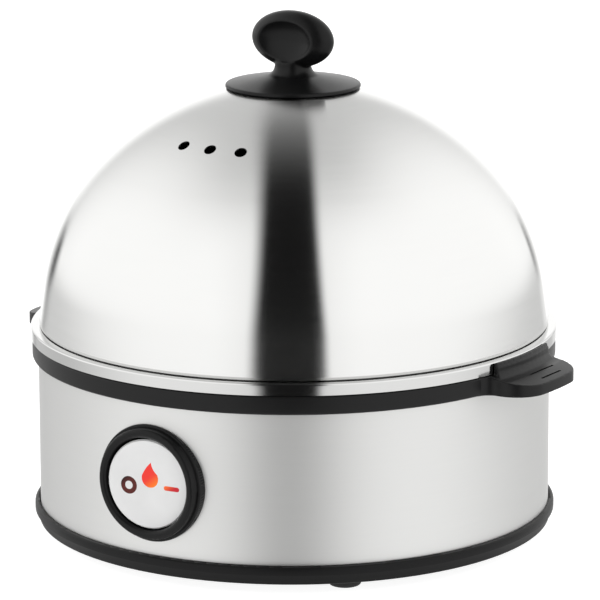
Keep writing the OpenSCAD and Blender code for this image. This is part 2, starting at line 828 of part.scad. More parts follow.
groove_z = 3;
gland_neck_r = 5.6;
z_gland = z_band + 14;
band_hole_gap = 0.15;

module housing_band() {
    z = z_pan + groove_z;
    color(steel) difference() {
        translate([0, 0, z]) tube(band_in, band_r, z_collar - z);
        at_switch() translate([0, 0, band_in - 8]) cylinder(r = barrel_r + band_hole_gap, h = 16);
        translate([0, band_in - 4, z_gland]) rotate([-90, 0, 0])
            cylinder(r = gland_neck_r + band_hole_gap, h = 8, $fn = small_fn);
    }
}

boss_h = 8;
module base_pan() {
    groove_r = band_r + sheet_gap;
    lip_r = band_r + base_lip;
    waist_r = lip_r - 0.55;
    waist_z = z_pan + base_h * 0.52;
    lip_z = z_pan + base_h - 0.35;
    spigot_in = skirt_out - 2.2;
    slot_pitch = slot_w * 2.1;
    color(black) difference() {
        union() {
            spun(rounded([
                [0, z_pan, 0],
                [band_r + 0.3, z_pan, 0.9],
                [waist_r, waist_z, 0],
                [lip_r, waist_z + 0.35, 0],
                [lip_r, lip_z, 0.7],
                [groove_r, lip_z + 0.5, 0],
                [groove_r, z_pan + groove_z, 0],
                [skirt_out, z_pan + groove_z, 0],
                [skirt_out, z_pan + spigot_h, 0.5],
                [spigot_in, z_pan + spigot_h, 0.5],
                [spigot_in, z_pan + pan_t, 1],
                [0, z_pan + pan_t, 0]
            ]));
            at_feet() translate([0, 0, z_pan]) cylinder(r = 5, h = pan_t + boss_h);
        }
        at_feet() translate([0, 0, z_pan - 1])
            cylinder(r = screw_r + 0.25, h = pan_t + boss_h + 2, $fn = small_fn);
        // Two rows of cooling slots
        for (side = [-1, 1], i = [0:slot_n - 1])
            translate([(i - (slot_n - 1) / 2) * slot_pitch, side * 30, z_pan - 1]) {
                translate([-slot_w / 2, -slot_l / 2, 0]) cube([slot_w, slot_l, pan_t + 2]);
                for (s = [-1, 1])
                    translate([0, s * slot_l / 2, 0]) cylinder(r = slot_w / 2, h = pan_t + 2, $fn = small_fn);
            }
    }
}

// Rubber feet, clamped by the housing screws that pass through them
head_pocket = 2.3;
module feet() {
    color(rubber) at_feet() difference() {
        spun(rounded([[0, 0, 0], [foot_r - 0.4, 0, 1.1], [foot_r, foot_h, 0], [0, foot_h, 0]]));
        translate([0, 0, -1]) cylinder(r = screw_head_r + 0.4, h = 1 + head_pocket, $fn = small_fn);
        cylinder(r = screw_r + 0.25, h = foot_h + 1, $fn = small_fn);
    }
}

module housing_screws() {
    head_h = 1.7;
    color(steel) at_feet() difference() {
        union() {
            translate([0, 0, head_pocket - head_h]) cylinder(r = screw_head_r, h = head_h, $fn = small_fn);
            translate([0, 0, head_pocket - lap]) cylinder(r = screw_r, h = screw_l + lap, $fn = small_fn);
        }
        cross_recess(head_pocket - head_h, 0.9);
    }
}

gland_bore_r = 3.3;
gland_lip_l = 3.4;
gland_throat_r = 3.9;
gland_back = band_r - 5;
gland_out = 3.6;
gland_length = band_r + gland_out - gland_back;
module cord_gland() {
    color(rubber) difference() {
        union() {
            translate([0, gland_back, z_gland]) rotate([-90, 0, 0])
                cylinder(r = gland_neck_r, h = gland_length, $fn = small_fn);
            difference() {
                translate([0, band_r - 2, z_gland]) rotate([-90, 0, 0]) spun(rounded([
                    [0, 0, 0], [8.4, 0, 0], [8.4, gland_out + 0.2, 0.8], [gland_neck_r, gland_out + 2, 0],
                    [0, gland_out + 2, 0]
                ]));
                cylinder(r = band_r, h = z_collar);
            }
            intersection() {
                translate([0, gland_back, z_gland]) rotate([-90, 0, 0])
                    cylinder(r = 7.6, h = 8, $fn = small_fn);
                cylinder(r = band_in, h = z_collar);
            }
        }
        translate([0, gland_back - 1, z_gland]) rotate([-90, 0, 0]) {
            cylinder(r = gland_bore_r, h = 20, $fn = small_fn);
            cylinder(r = gland_throat_r, h = gland_length - gland_lip_l + 1, $fn = small_fn);
        }
    }
}

block_at = [32, 26];
block_size = [34, 18, 13];
block_poles = 3;
module at_block_screws() {
    for (i = [0:block_poles - 1], s = [-1, 1])
        translate([
            block_at[0] + (i - (block_poles - 1) / 2) * block_size[0] / block_poles,
            block_at[1] + s * block_size[1] / 4,
            z_pan + pan_t
        ]) children();
}

module terminal_block() {
    wall = 1.6;
    pole = block_size[0] / block_poles;
    color(ivory) difference() {
        translate([block_at[0] - block_size[0] / 2, block_at[1] - block_size[1] / 2, z_pan + pan_t])
            cube(block_size);
        at_block_screws() translate([0, 0, 4]) cylinder(r = 2.3, h = block_size[2], $fn = small_fn);
        for (i = [0:block_poles - 1])
            translate([
                block_at[0] + (i - (block_poles - 1) / 2) * pole,
                block_at[1] - block_size[1],
                z_pan + pan_t + 4.5
            ]) rotate([-90, 0, 0]) cylinder(r = 1.5, h = block_size[1] * 2, $fn = small_fn);
        for (i = [1:block_poles - 1])
            translate([
                block_at[0] + (i - block_poles / 2) * pole - 0.8,
                block_at[1] - block_size[1],
                z_pan + pan_t + block_size[2] - 5
            ]) cube([wall, block_size[1] * 2, 8]);
    }
}

module terminal_screws() {
    color(brass) at_block_screws() difference() {
        translate([0, 0, 6.5]) cylinder(r = 2.3, h = 4, $fn = small_fn);
        translate([-2.4, -0.4, 9.3]) cube([4.8, 0.8, 2]);
    }
}

// --- Switch ----------------------------------------------------------------------------------

lamp_r = 1.9;
lamp_l = 9;
lamp_up = 10.2;
lamp_at = barrel_back + lamp_r + 1.1;
module switch_bezel() {
    color(black) difference() {
        union() {
            at_switch() translate([0, 0, barrel_back]) tube(bezel_open_r, barrel_r, band_r - barrel_back);
            // The flange hugs the band, and the raised ring stands on it
            difference() {
                at_switch() spun(rounded([
                    [bezel_open_r, band_r - 4, 0],
                    [bezel_r, band_r - 4, 0],
                    [bezel_r, band_r + 0.9, 0.5],
                    [bezel_r - 0.9, band_r + 0.9, 0],
                    [bezel_r - 1.3, bezel_front, 1.2],
                    [bezel_open_r, bezel_front, 1.5],
                    [bezel_open_r, band_r - 4, 0]
                ]));
                difference() {
                    cylinder(r = band_r, h = z_collar);
                    at_switch() translate([0, 0, band_r - 5]) cylinder(r = barrel_r - 0.5, h = 10);
                }
            }
            at_switch() difference() {
                translate([0, 0, barrel_back]) cylinder(r = bezel_open_r + 0.5, h = back_t);
                translate([-module_w / 2 - window_gap, -module_h / 2 - window_gap, barrel_back - 1])
                    cube([module_w + 2 * window_gap, module_h + 2 * window_gap, back_t + 2]);
            }
            // Saddles that hold the lamp
            at_switch() for (s = [-1, 1])
                translate([s * lamp_l * 0.3 - 0.6, lamp_up - 2.6, barrel_back + back_t - lap])
                    cube([1.2, 5.2, lamp_at - barrel_back - back_t + lap]);
        }
        at_switch() {
            translate([0, 0, pivot_at]) rotate([90, 0, 0])
                translate([0, 0, -barrel_r + 0.25])
                    cylinder(r = pivot_r + pivot_fit, h = 2 * barrel_r - 0.5, $fn = small_fn);
            translate([-lamp_l, lamp_up, lamp_at]) rotate([0, 90, 0])
                cylinder(r = lamp_r + 0.02, h = 2 * lamp_l, $fn = small_fn);
        }
    }
}

module bezel_nut() {
    color(black) at_switch() difference() {
        translate([0, 0, nut_front - nut_t]) tube(barrel_r + 0.05, nut_r, nut_t);
        for (a = [0:30:330])
            rotate([0, 0, a]) translate([nut_r, 0, nut_front - nut_t - 1])
                cylinder(r = 1, h = nut_t + 2, $fn = small_fn);
    }
}

off_at = [-7, -1];
off_r = 2.9;
off_in = 1.35;
on_at = [8.5, -0.5];
on_l = 5.6;
on_h = 1.5;
drop_at = [0.7, 2];
drop_r = 3;
drop_tip = [0.4, 5.3];
drop_hollow = 0.9;
drop_swell = 0.4;

// Plans of the three marks, slack outwards for their pockets
module off_plan() {
    difference() {
        circle(off_r, $fn = small_fn);
        circle(off_in, $fn = small_fn);
    }
}

module on_plan() {
    square([on_l - on_h, on_h], center = true);
    for (s = [-1, 1]) translate([s * (on_l - on_h) / 2, 0]) circle(on_h / 2, $fn = small_fn);
}

// Inner points of a curve that leaves p towards c and arrives at q from c
function bow(p, c, q, n = 6) = [
    for (i = [1:n - 1]) let (t = i / n) p * pow(1 - t, 2) + 2 * c * t * (1 - t) + q * t * t
];

// A drop: an arc and, up to the tip, a hollow side on the right and a full one on the left
module drop_plan() {
    lean = atan2(drop_tip[1], drop_tip[0]);
    touch = acos(drop_r / norm(drop_tip));
    left = drop_r * [cos(lean + touch), sin(lean + touch)];
    right = drop_r * [cos(lean - touch), sin(lean - touch)];
    polygon(concat(
        arc([0, 0], drop_r, lean + touch, lean - touch + 360, 20),
        bow(right, (right + drop_tip) / 2 + drop_hollow * left_of(right, drop_tip), drop_tip),
        [drop_tip],
        bow(drop_tip, (left + drop_tip) / 2 - drop_swell * left_of(drop_tip, left), left)
    ));
}

// The marks' inlays as seen on the button's face, each in its own place
module inlay(at) {
    translate([at[0], at[1], button_face - mark_depth]) linear_extrude(mark_depth) children();
}
module off_inlay() { inlay(off_at) off_plan(); }
module on_inlay() { inlay(on_at) on_plan(); }
module drop_inlay() { inlay(drop_at) drop_plan(); }

module rocker_button() {
    hub_r = 5;
    hub_w = bezel_open_r - 0.7;
    leg_w = 4;
    color([0.88, 0.88, 0.88]) rocked() difference() {
        union() {
            translate([0, 0, button_face - button_t]) spun(rounded([
                [0, 0, 0], [button_r - 0.3, 0, 0.3], [button_r, button_t - 0.6, 0.3],
                [button_r - 0.5, button_t, 0], [0, button_t, 0]
            ]));
            // Ribs down to the pivot pins
            for (s = [-1, 1])
                translate([-2, s * (hub_w - 2.6) - 1.2, pivot_at - 2])
                    cube([4, 2.4, button_face - button_t - pivot_at + 2 + lap]);
            translate([-hub_r, -leg_w / 2, button_face - button_t - 2]) cube([2 * hub_r, leg_w, 2 + lap]);
            translate([-1.1, -leg_w / 2, barrel_back + 1.4])
                cube([2.2, leg_w, button_face - button_t - barrel_back - 1.4 + lap]);
            for (s = [-1, 1])
                translate([0, s * (hub_w - 3), pivot_at]) rotate([-90 * s, 0, 0])
                    cylinder(r = pivot_r, h = barrel_r - hub_w + 2.5, $fn = small_fn);
        }
        off_inlay();
        on_inlay();
        drop_inlay();
    }
}

module off_mark() { color([0.25, 0.08, 0.08]) rocked() off_inlay(); }
module on_mark() { color(red) rocked() on_inlay(); }
module drop_window() { color(red) rocked() drop_inlay(); }

// The electrical rocker switch that the button drives through a slot in its face
module switch_module() {
    lip = 1.6;
    color(black) at_switch() difference() {
        union() {
            translate([-module_w / 2, -module_h / 2, barrel_back - module_l])
                cube([module_w, module_h, module_l + back_t]);
            translate([-module_w / 2 - lip, -module_h / 2 - lip, barrel_back + back_t])
                cube([module_w + 2 * lip, module_h + 2 * lip, 0.9]);
            translate([-module_w / 2, -module_h / 2, barrel_back + back_t - lap])
                cube([module_w, module_h, 0.9 + lap]);
        }
        translate([-7, -3, barrel_back - 4]) cube([14, 6, 10]);
    }
}

module switch_blades() {
    blade_l = 6;
    color(brass) at_switch() for (i = [-1:1])
        translate([i * 6.4 - 0.4, -3.15, barrel_back - module_l - blade_l]) cube([0.8, 6.3, blade_l]);
}

module indicator_lamp() {
    color([1, 0.55, 0.3]) at_switch() translate([-lamp_l / 2, lamp_up, lamp_at]) rotate([0, 90, 0])
        cylinder(r = lamp_r, h = lamp_l, $fn = small_fn);
}

// --- Every node once -------------------------------------------------------------------------

lid_dome();
lid_knob();
knob_gasket();
knob_insert();
knob_washer();
knob_screw();
egg_tray();
boiling_bowl();
bowl_seal();
heat_spreader();
heating_element();
element_bushes();
bowl_studs();
retaining_ring();
heat_shield();
stud_nuts();
thermostat();
thermostat_bracket();
bracket_screws();
thermal_fuse();
fuse_clip();
collar();
housing_band();
base_pan();
feet();
housing_screws();
cord_gland();
terminal_block();
terminal_screws();
switch_bezel();
bezel_nut();
rocker_button();
off_mark();
on_mark();
drop_window();
switch_module();
switch_blades();
indicator_lamp();
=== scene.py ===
import json
from math import acos, asin, atan2, cos, pi, radians, sin, sqrt, tan

import bpy
from mathutils import Matrix, Quaternion, Vector


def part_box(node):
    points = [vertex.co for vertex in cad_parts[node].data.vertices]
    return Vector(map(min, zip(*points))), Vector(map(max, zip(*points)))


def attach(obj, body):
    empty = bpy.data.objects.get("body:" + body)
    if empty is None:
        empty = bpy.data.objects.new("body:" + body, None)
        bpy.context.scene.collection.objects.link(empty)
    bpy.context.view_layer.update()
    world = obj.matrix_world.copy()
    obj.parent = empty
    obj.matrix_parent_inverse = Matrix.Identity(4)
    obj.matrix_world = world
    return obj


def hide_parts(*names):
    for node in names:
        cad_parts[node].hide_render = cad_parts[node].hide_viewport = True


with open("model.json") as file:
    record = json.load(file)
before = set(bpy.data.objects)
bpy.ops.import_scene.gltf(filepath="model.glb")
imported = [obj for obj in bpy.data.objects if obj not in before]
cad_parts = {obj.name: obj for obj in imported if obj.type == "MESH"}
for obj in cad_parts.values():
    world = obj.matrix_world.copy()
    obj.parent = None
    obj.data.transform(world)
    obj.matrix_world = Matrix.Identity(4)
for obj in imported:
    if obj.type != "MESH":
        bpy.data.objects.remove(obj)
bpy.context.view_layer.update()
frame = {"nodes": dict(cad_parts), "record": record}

MM = 0.001
WELD = 1e-6

bodies = frame["record"]["behaviour"]["bodies"]
body_of_node = {node: body for body, nodes in bodies.items() for node in nodes}


# --- Sizes that several pieces share -----------------------------------------------------------


def node_box(node):
    """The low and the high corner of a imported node."""
    return [Vector(corner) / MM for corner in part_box(node)]


def node_middle(node):
    low, high = node_box(node)
    return (low + high) / 2


band_low, band_high = node_box("housing_band")
bowl_low, bowl_high = node_box("boiling_bowl")
lid_low, lid_high = node_box("lid_dome")
knob_high = node_box("lid_knob")[1]
collar_high = node_box("collar")[1]

sheet_t = 0.7
gasket_t = 0.6
band_r = band_high.x
z_collar = band_high.z
collar_h = 6.1
z_rim = z_collar + collar_h
z_rim_top = bowl_high.z
z_lid = lid_low.z
hem_r = band_r - 2
z_crown = lid_high.z
crown_r = 87.28
crown_z = z_crown - crown_r


# --- Camera ------------------------------------------------------------------------------------

view_azimuth = radians(32.4)
view_height = radians(13.18)
view_distance = 1433.7
view_shift = 2.06
lens = 258.82
target_z = z_collar + 16.9
roll = radians(-0.18)

view_front = Vector((sin(view_azimuth), -cos(view_azimuth), 0))
view_back = view_front * cos(view_height) + Vector((0, 0, sin(view_height)))
view_right = Vector((cos(view_azimuth), sin(view_azimuth), 0))


def add_camera():
    target = Vector((0, 0, target_z)) + view_right * view_shift
    bpy.ops.object.camera_add()
    camera = bpy.context.object
    camera.location = (target + view_back * view_distance) * MM
    turn = view_back.to_track_quat("Z", "Y") @ Quaternion((0, 0, 1), roll)
    camera.rotation_euler = turn.to_euler()
    camera.data.lens = lens
    camera.data.sensor_width = 36
    camera.data.clip_end = 100
    bpy.context.scene.camera = camera


# --- Shader maths ------------------------------------------------------------------------------


class Socket:
    """A node's output, so that shader maths reads as Python."""

    def __init__(self, finish, output):
        self.finish = finish
        self.output = output

    def maths(self, operation, *values):
        return self.finish.add("ShaderNodeMath", {"operation": operation}, dict(enumerate(values)))

    def __add__(self, other):
        return self.maths("ADD", self, other)

    def __radd__(self, other):
        return self.maths("ADD", other, self)

    def __sub__(self, other):
        return self.maths("SUBTRACT", self, other)

    def __rsub__(self, other):
        return self.maths("SUBTRACT", other, self)

    def __mul__(self, other):
        return self.maths("MULTIPLY", self, other)

    def __rmul__(self, other):
        return self.maths("MULTIPLY", other, self)

    def __truediv__(self, other):
        return self.maths("DIVIDE", self, other)

    def __rtruediv__(self, other):
        return self.maths("DIVIDE", other, self)

    def root(self):
        return self.maths("SQRT", self)

    def size(self):
        return self.maths("ABSOLUTE", self)

    def angle_from(self, other):
        return self.maths("ARCTAN2", self, other)

    def between(self, low, high):
        """0 where the value is low, 1 where it is high, and smooth in between."""
        settings = {"interpolation_type": "SMOOTHSTEP"}
        sockets = {"Value": self, "From Min": low, "From Max": high}
        return self.finish.add("ShaderNodeMapRange", settings, sockets)


class Finish:
    """A material, or the light of the room, that is put together from nodes."""

    def __init__(self, name, tree=None):
        if tree is None:
            self.material = bpy.data.materials.new(name)
            self.material.use_nodes = True
            tree = self.material.node_tree
        self.tree = tree
        self.tree.nodes.clear()

    def add(self, kind, settings=None, sockets=None, output=0):
        """A node of any kind. Its settings come first, because they can change its sockets."""
        node = self.tree.nodes.new(kind)
        for name, value in (settings or {}).items():
            setattr(node, name, value)
        for name, value in (sockets or {}).items():
            if isinstance(value, Socket):
                self.tree.links.new(value.output, node.inputs[name])
            else:
                node.inputs[name].default_value = value
        return Socket(self, node.outputs[output]) if len(node.outputs) else node

    def place(self):
        """X, Y and Z of the surface in millimetres."""
        place = self.add("ShaderNodeTexCoord", output="Object")
        node = self.add("ShaderNodeSeparateXYZ", sockets={0: place}).output.node
        return [Socket(self, output) * (1 / MM) for output in node.outputs]

    def vector(self, x, y, z):
        return self.add("ShaderNodeCombineXYZ", sockets={0: x, 1: y, 2: z})

    def noise(self, vector, scale=1.0, detail=2.0, roughness=0.5):
        sockets = {"Vector": vector, "Scale": scale, "Detail": detail, "Roughness": roughness}
        return self.add("ShaderNodeTexNoise", sockets=sockets, output="Fac")

    def mix(self, factor, first, second):
        """A colour between two colours. Sockets 6 and 7 and output 2 are the ones for colours."""
        sockets = {0: factor, 6: self.colour(first), 7: self.colour(second)}
        return self.add("ShaderNodeMix", {"data_type": "RGBA"}, sockets, output=2)

    def colour(self, value):
        return value if isinstance(value, Socket) else (*value, 1)

    def bump(self, height, distance, strength):
        sockets = {"Height": height, "Distance": distance, "Strength": strength}
        return self.add("ShaderNodeBump", sockets=sockets)

    def surface(self, colour, roughness, metallic=0.0, **others):
        """The finished surface. Other sockets go by their names, with underscores for spaces."""
        sockets = {"Base Color": self.colour(colour), "Roughness": roughness, "Metallic": metallic}
        for name, value in others.items():
            sockets[name.replace("_", " ").title().replace("Ior", "IOR")] = value
        shader = self.add("ShaderNodeBsdfPrincipled", sockets=sockets)
        self.add("ShaderNodeOutputMaterial", sockets={"Surface": shader})
        return self.material


# --- Finishes ----------------------------------------------------------------------------------


def shades(tone, darkest, lightest):
    return [tuple(channel * level for channel in tone) for level in (darkest, lightest)]


def brushed_steel(name, tone, roughness, anisotropic, dome_z=None, streak=1.0):
    """Steel sheet that was brushed while it turned round Z, so its fine lines run round it.

    With dome_z, the lines are spread evenly over a dome that is centred at that height.
    """
    finish = Finish(name)
    x, y, z = finish.place()
    reach = (x * x + y * y).root() + 0.01
    if dome_z is None:
        along = z + reach
    else:
        along = (z - dome_z).angle_from(reach) * band_r
    round_x, round_y = x / reach, y / reach

    def streaks(turns, density, start, **noise):
        place = finish.vector(round_x * turns, round_y * turns, along * density + start)
        return finish.noise(place, **noise)

    fine = streaks(5, 3.2, 0, detail=4, roughness=0.7)
    long = streaks(2.2, 0.9, 40, detail=3, roughness=0.6)
    lines = fine * 0.6 + long * 0.4
    dark, light = shades(tone, 0.8, 1.12)
    return finish.surface(
        finish.mix((lines - 0.5) * (0.22 * streak) + 0.6, dark, light),
        (lines - 0.5) * (0.12 * streak) + roughness,
        metallic=1.0,
        anisotropic=anisotropic,
        anisotropic_rotation=0.25,
        normal=finish.bump(lines, 0.01 * MM, 0.3 * streak),
    )


def satin_metal(name, tone, roughness=0.35):
    finish = Finish(name)
    x, y, z = finish.place()
    grain = finish.noise(finish.vector(x, y, z), scale=1.4, detail=3)
    relief = finish.bump(grain, 0.01 * MM, 0.3)
    return finish.surface(tone, (grain - 0.5) * 0.2 + roughness, metallic=1.0, normal=relief)


def moulded_plastic(name, tone, roughness, grain_size=0.35, gloss=0.3):
    """Plastic out of a finely eroded mould: satin, with a faint grain and slight handling marks."""
    finish = Finish(name)
    x, y, z = finish.place()
    place = finish.vector(x, y, z)
    grain = finish.noise(place, scale=1 / grain_size, detail=2)
    cloud = finish.noise(place, scale=0.06, detail=3)
    return finish.surface(
        finish.mix(cloud, *shades(tone, 0.85, 1.15)),
        (cloud - 0.5) * 0.12 + (grain - 0.5) * 0.1 + roughness,
        specular_ior_level=gloss,
        normal=finish.bump(grain, 0.012 * MM, 0.5),
    )


def lit_lens(name, first, second, start, end, glow=0.0):
    """Coloured clear plastic over the lamp: its colour runs from first to second along X and down Z."""
    finish = Finish(name)
    x, y, z = finish.place()
    colour = finish.mix((x * 0.8 - z).between(start, end), first, second)
    return finish.surface(
        colour, 0.3, emission_color=colour, emission_strength=glow, specular_ior_level=0.15
    )


steel_tone = (0.69, 0.69, 0.683)
black_tone = (0.005, 0.005, 0.0052)
lid_steel = brushed_steel("lid_brushed_steel", steel_tone, 0.155, anisotropic=1.0, dome_z=crown_z)
band_steel = brushed_steel("band_brushed_steel", steel_tone, 0.47, anisotropic=0.2)
bowl_steel = brushed_steel("bowl_satin_steel", (0.62, 0.62, 0.615), 0.11, anisotropic=0.3, streak=0.4)
zinc_steel = satin_metal("zinc_plated_steel", (0.72, 0.73, 0.74))
aluminium = satin_metal("mill_aluminium", (0.70, 0.71, 0.73), 0.42)
sheath = satin_metal("annealed_sheath", (0.26, 0.25, 0.24), 0.5)
brass = satin_metal("turned_brass", (0.78, 0.58, 0.26), 0.3)
black_plastic = moulded_plastic("black_moulding", black_tone, 0.36, gloss=0.22)
knob_plastic = moulded_plastic("black_knob_moulding", (0.0045, 0.0045, 0.0047), 0.32, gloss=0.18)
base_plastic = moulded_plastic("black_base_moulding", black_tone, 0.4, gloss=0.15)
rubber = moulded_plastic("black_rubber", (0.02, 0.02, 0.02), 0.75, grain_size=0.6)
ceramic = moulded_plastic("ivory_ceramic", (0.82, 0.79, 0.70), 0.35, grain_size=0.8)
button_silver = moulded_plastic("silvery_button", (0.67, 0.67, 0.67), 0.4, gloss=0.5)
off_print = lit_lens("off_mark_print", (0.02, 0.008, 0.008), (0.09, 0.018, 0.015), -42.5, -38.5)
drop_lens = lit_lens("drop_lens", (0.72, 0.04, 0.03), (0.85, 0.2, 0.02), -36, -30, glow=0.08)
on_lens = lit_lens("on_mark_lens", (0.85, 0.16, 0.03), (0.5, 0.02, 0.03), -29.5, -25, glow=0.08)
lamp_glass = lit_lens("lamp_bulb", (1.0, 0.4, 0.2), (1.0, 0.4, 0.2), 0, 1)

finish_of = {
    node: finish
    for finish, nodes in (
        (lid_steel, "lid_dome"),
        (band_steel, "housing_band"),
        (bowl_steel, "boiling_bowl"),
        (zinc_steel, "knob_washer knob_screw bowl_studs stud_nuts retaining_ring housing_screws"),
        (zinc_steel, "thermostat_bracket bracket_screws fuse_clip"),
        (aluminium, "heat_spreader heat_shield"),
        (sheath, "heating_element"),
        (brass, "knob_insert terminal_screws switch_blades"),
        (black_plastic, "collar egg_tray thermostat bezel_nut switch_module"),
        (knob_plastic, "lid_knob switch_bezel"),
        (base_plastic, "base_pan"),
        (rubber, "knob_gasket bowl_seal feet cord_gland"),
        (ceramic, "element_bushes thermal_fuse terminal_block"),
        (button_silver, "rocker_button"),
        (off_print, "off_mark"),
        (drop_lens, "drop_window"),
        (on_lens, "on_mark"),
        (lamp_glass, "indicator_lamp"),
    )
    for node in nodes.split()
}


# --- Outlines ----------------------------------------------------------------------------------


def arc(centre, radius, start, end, steps):
    angles = [start + (end - start) * i / steps for i in range(steps + 1)]
    return [Vector(centre) + radius * Vector((cos(a), sin(a))) for a in angles]


def rounded(corners, steps=6):
    """An outline through corners of (x, y, radius), its two ends left sharp."""
    points = [Vector(corner[:2]) for corner in corners]
    outline = [points[0]]
    for before, point, after, corner in zip(points, points[1:], points[2:], corners[1:]):
        radius = corner[2]
        if radius == 0:
            outline.append(point)
            continue
        to_before, to_after = (before - point).normalized(), (after - point).normalized()
        half = to_before.angle(to_after) / 2
        centre = point + (to_before + to_after).normalized() * radius / sin(half)
        first = point + to_before * radius / tan(half) - centre
        last = point + to_after * radius / tan(half) - centre
        start = atan2(first.y, first.x)
        sweep = (atan2(last.y, last.x) - start + 3 * pi) % (2 * pi) - pi
        outline += arc(centre, radius, start, start + sweep, steps)
    return outline + [points[-1]]


def beside(outline, distance):
    """The outline moved to the left of its direction."""
    normals = []
    for first, second in zip(outline, outline[1:]):
        step = (second - first).normalized()
        normals.append(Vector((-step.y, step.x)))
    pairs = zip([normals[0]] + normals, normals + [normals[-1]])
    return [point + distance * (a + b) / (1 + a.dot(b)) for point, (a, b) in zip(outline, pairs)]


def sheet(outline, thickness):
    """A closed outline of sheet metal, its visible side on the given outline."""
    return outline + beside(outline, thickness)[::-1] + outline[:1]


# --- Modelling ---------------------------------------------------------------------------------


def deselect():
    if bpy.context.mode != "OBJECT":
        bpy.ops.object.mode_set(mode="OBJECT")
    bpy.ops.object.select_all(action="DESELECT")


def choose(piece):
    deselect()
    piece.select_set(True)
    bpy.context.view_layer.objects.active = piece


def edit_all(piece):
    choose(piece)
    bpy.ops.object.mode_set(mode="EDIT")
    bpy.ops.mesh.select_all(action="SELECT")


def point_outwards():
    """Ends edit mode with all faces of the shape turned outwards."""
    bpy.ops.mesh.select_all(action="SELECT")
    bpy.ops.mesh.normals_make_consistent(inside=False)
    bpy.ops.object.mode_set(mode="OBJECT")


def trace(name, outline, plan_z=None):
    """A wire drawn by extruding corner after corner, upright or, with plan_z, flat at that height."""
    deselect()
    bpy.ops.mesh.primitive_plane_add(size=MM)
    piece = bpy.context.object
    piece.name = piece.data.name = name
    bpy.ops.object.mode_set(mode="EDIT")
    bpy.ops.mesh.merge(type="CENTER")
    if plan_z is None:
        places = [Vector((point.x, 0, point.y)) * MM for point in outline]
    else:
        places = [Vector((point.x, point.y, plan_z)) * MM for point in outline]
    bpy.ops.transform.translate(value=places[0])
    for before, after in zip(places, places[1:]):
        bpy.ops.mesh.extrude_vertices_move(TRANSFORM_OT_translate={"value": after - before})
    bpy.ops.mesh.select_all(action="SELECT")
    bpy.ops.mesh.remove_doubles(threshold=WELD)
    bpy.ops.mesh.select_all(action="SELECT")
    return piece


def revolve(name, outline, steps=192):
    """An outline of (radius, height) points turned round Z. It is closed, or ends on the axis."""
    piece = trace(name, outline)
    bpy.ops.mesh.spin(steps=steps, angle=2 * pi, center=(0, 0, 0), axis=(0, 0, 1), use_auto_merge=True)
    bpy.ops.mesh.select_all(action="SELECT")
    bpy.ops.mesh.remove_doubles(threshold=WELD)
    point_outwards()
    return piece


def raise_plan(name, outline, low, high):
    """A closed plan raised from one height to another."""
    piece = trace(name, outline, low)
    bpy.ops.mesh.edge_face_add()
    bpy.ops.mesh.extrude_region_move(TRANSFORM_OT_translate={"value": (0, 0, (high - low) * MM)})
    point_outwards()
    return piece


def ball(middle, half_sizes, around=96, up=64):
    deselect()
    place = Vector(middle) * MM
    bpy.ops.mesh.primitive_uv_sphere_add(
        segments=around, ring_count=up, radius=MM, location=place, scale=half_sizes
    )
    bpy.ops.object.transform_apply(location=True, rotation=True, scale=True)
    return bpy.context.object


def pin(radius, length, middle, turn=(0, 0, 0), corners=48):
    deselect()
    place = Vector(middle) * MM
    bpy.ops.mesh.primitive_cylinder_add(
        vertices=corners, radius=radius * MM, depth=length * MM, location=place, rotation=turn
    )
    bpy.ops.object.transform_apply(location=True, rotation=True, scale=True)
    return bpy.context.object


def apply(piece, kind, **settings):
    choose(piece)
    modifier = piece.modifiers.new(kind.title(), kind)
    for name, value in settings.items():
        setattr(modifier, name, value)
    bpy.ops.object.modifier_apply(modifier=modifier.name)


def cut(piece, tool, operation="DIFFERENCE"):
    """The tool is used up: taken away, joined by UNION, or kept where both are by INTERSECT."""
    apply(piece, "BOOLEAN", object=tool, operation=operation, solver="EXACT")
    bpy.data.objects.remove(tool)


def melt(piece, voxel, passes):
    """The forms of a moulding run into each other with small soft radii."""
    apply(piece, "REMESH", mode="VOXEL", voxel_size=voxel * MM)
    apply(piece, "SMOOTH", factor=0.5, iterations=passes)
    bpy.ops.object.shade_smooth()


def smooth(piece, angle=radians(32)):
    choose(piece)
    bpy.ops.object.shade_smooth_by_angle(angle=angle)


def keep_below(piece, height):
    edit_all(piece)
    place = (0, 0, height * MM)
    bpy.ops.mesh.bisect(plane_co=place, plane_no=(0, 0, 1), use_fill=True, clear_outer=True)
    bpy.ops.object.mode_set(mode="OBJECT")


def linked_object(name, data):
    piece = bpy.data.objects.new(name, data)
    bpy.context.scene.collection.objects.link(piece)
    return piece


def turned_copy(piece, name, angle):
    copy = linked_object(name, piece.data.copy())
    copy.data.name = name
    copy.data.transform(Matrix.Rotation(angle, 4, "Z"))
    return copy


def welded_copy(node, name):
    """The node's own shape with its loose triangles joined, so that it can be shaded smoothly."""
    piece = linked_object(name, frame["nodes"][node].data.copy())
    edit_all(piece)
    bpy.ops.mesh.remove_doubles(threshold=WELD)
    bpy.ops.mesh.dissolve_limited(angle_limit=radians(0.4))
    bpy.ops.object.mode_set(mode="OBJECT")
    smooth(piece)
    apply(piece, "WEIGHTED_NORMAL", keep_sharp=True)
    return piece


def dress(piece, node):
    """The piece takes the node's place, its body and its finish."""
    piece.data.materials.clear()
    piece.data.materials.append(finish_of[node])
    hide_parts(node)
    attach(piece, body_of_node[node])


# --- Lid ---------------------------------------------------------------------------------------

